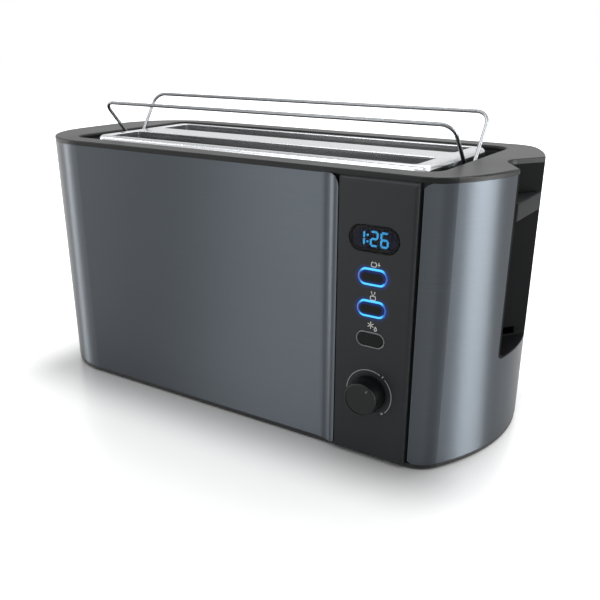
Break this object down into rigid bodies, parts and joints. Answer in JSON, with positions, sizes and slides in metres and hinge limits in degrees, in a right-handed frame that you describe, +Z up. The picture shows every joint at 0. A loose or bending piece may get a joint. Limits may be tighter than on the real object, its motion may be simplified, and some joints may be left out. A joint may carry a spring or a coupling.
{
  "type": "long slot toaster",
  "caption": "Long toaster with bread slots, lever, round browning knob, lit display and buttons, fold-down wire warming racks and a pull-out crumb tray.",
  "frame": {"origin": "middle of the whole part's footprint on the surface it stands on", "axes": "+X along the body towards the lever end, +Y towards the back, the control column faces -Y, +Z up"},
  "size_m": [0.405, 0.1894, 0.2291],
  "materials": {
    "brushed_shell": "satin",
    "cover_plastic": "matte",
    "black_plastic": "matte",
    "fascia_plastic": "satin",
    "lever_plastic": "matte",
    "button_plastic": "satin",
    "gloss_knob": "gloss",
    "smoked_lens": "gloss",
    "display_module": "matte",
    "cyan_light": "lit",
    "unlit_ring": "satin",
    "foot_rubber": "matte",
    "zinc_screws": "satin",
    "zinc_steel": "satin",
    "dark_steel": "satin",
    "polished_plate": "polished",
    "mica_board": "matte",
    "heating_ribbon": "satin",
    "reflector_sheet": "satin",
    "guard_wire": "satin",
    "spring_wire": "satin",
    "coil_winding": "satin",
    "tray_sheet": "satin",
    "circuit_board": "satin",
    "rack_chrome": "polished"
  },
  "bodies": {
    "housing": {"base_pan": "black_plastic", "feet": "foot_rubber", "base_screws": "zinc_screws", "left_shell": "brushed_shell", "right_shell": "brushed_shell", "top_cover": "cover_plastic", "slot_well": "dark_steel", "slot_plate": "polished_plate", "lever_recess": "black_plastic", "rear_strip": "black_plastic", "cord_inlet": "foot_rubber", "control_fascia": "fascia_plastic", "display_window": "smoked_lens", "display_module": "display_module", "display_digits": "cyan_light", "lit_button_rings": "cyan_light", "dark_button_ring": "unlit_ring", "control_board": "circuit_board", "button_switches": "black_plastic", "knob_encoder": "zinc_steel", "right_end_frame": "zinc_steel", "left_end_frame": "zinc_steel", "outer_heater_boards": "mica_board", "inner_heater_boards": "mica_board", "heating_ribbons": "heating_ribbon", "outer_reflectors": "reflector_sheet", "centre_reflector": "reflector_sheet", "magnet_core": "zinc_steel", "magnet_coil": "coil_winding", "guide_rods": "guard_wire", "lift_springs": "spring_wire", "rack_brackets": "dark_steel", "rack_pins": "guard_wire", "power_board": "circuit_board", "power_parts": "black_plastic"},
    "carriage": {"carriage": "zinc_steel", "armature": "zinc_steel", "lever": "lever_plastic", "front_bread_lift": "guard_wire", "rear_bread_lift": "guard_wire"},
    "front_slot_front_guard": {"front_slot_front_guard": "guard_wire"},
    "front_slot_rear_guard": {"front_slot_rear_guard": "guard_wire"},
    "rear_slot_front_guard": {"rear_slot_front_guard": "guard_wire"},
    "rear_slot_rear_guard": {"rear_slot_rear_guard": "guard_wire"},
    "cancel_button": {"cancel_button": "button_plastic"},
    "defrost_button": {"defrost_button": "button_plastic"},
    "reheat_button": {"reheat_button": "button_plastic"},
    "knob": {"browning_knob": "gloss_knob", "knob_shaft": "zinc_steel"},
    "crumb_tray": {"crumb_tray": "tray_sheet", "crumb_tray_face": "black_plastic"},
    "front_rack": {"front_warming_rack": "rack_chrome"},
    "rear_rack": {"rear_warming_rack": "rack_chrome"}
  },
  "joints": [
    {"name": "lever_slide", "type": "slide", "parent": "housing", "child": "carriage", "axis": [0, 0, -1], "range_m": [0, 0.088], "stiffness_N_per_m": 60, "springref_m": -0.1, "deforming": ["lift_springs"]},
    {"name": "front_slot_front_guard_slide", "type": "slide", "parent": "housing", "child": "front_slot_front_guard", "axis": [0, 1, 0], "range_m": [0, 0.006]},
    {"name": "front_slot_rear_guard_slide", "type": "slide", "parent": "housing", "child": "front_slot_rear_guard", "axis": [0, -1, 0], "range_m": [0, 0.006]},
    {"name": "rear_slot_front_guard_slide", "type": "slide", "parent": "housing", "child": "rear_slot_front_guard", "axis": [0, 1, 0], "range_m": [0, 0.006]},
    {"name": "rear_slot_rear_guard_slide", "type": "slide", "parent": "housing", "child": "rear_slot_rear_guard", "axis": [0, -1, 0], "range_m": [0, 0.006]},
    {"name": "cancel_button_push", "type": "slide", "parent": "housing", "child": "cancel_button", "axis": [0, 1, 0], "range_m": [0, 0.0012], "stiffness_N_per_m": 1000, "springref_m": -0.001},
    {"name": "defrost_button_push", "type": "slide", "parent": "housing", "child": "defrost_button", "axis": [0, 1, 0], "range_m": [0, 0.0012], "stiffness_N_per_m": 1000, "springref_m": -0.001},
    {"name": "reheat_button_push", "type": "slide", "parent": "housing", "child": "reheat_button", "axis": [0, 1, 0], "range_m": [0, 0.0012], "stiffness_N_per_m": 1000, "springref_m": -0.001},
    {"name": "knob_turn", "type": "hinge", "parent": "housing", "child": "knob", "pos_m": [0.1324, -0.07835, 0.0512], "axis": [0, 1, 0], "range_deg": [-135, 135]},
    {"name": "crumb_tray_slide", "type": "slide", "parent": "housing", "child": "crumb_tray", "axis": [0, 1, 0], "range_m": [0, 0.14]},
    {"name": "front_rack_fold", "type": "hinge", "parent": "housing", "child": "front_rack", "pos_m": [0, 0.00395, 0.19], "axis": [1, 0, 0], "range_deg": [0, 33.5]},
    {"name": "rear_rack_fold", "type": "hinge", "parent": "housing", "child": "rear_rack", "pos_m": [0, 0.01235, 0.19], "axis": [-1, 0, 0], "range_deg": [0, 40]}
  ],
  "couplings": [
    {"joint": "front_slot_front_guard_slide", "follows": "lever_slide", "ratio": 0.068182},
    {"joint": "front_slot_rear_guard_slide", "follows": "lever_slide", "ratio": 0.068182},
    {"joint": "rear_slot_front_guard_slide", "follows": "lever_slide", "ratio": 0.068182},
    {"joint": "rear_slot_rear_guard_slide", "follows": "lever_slide", "ratio": 0.068182}
  ]
}
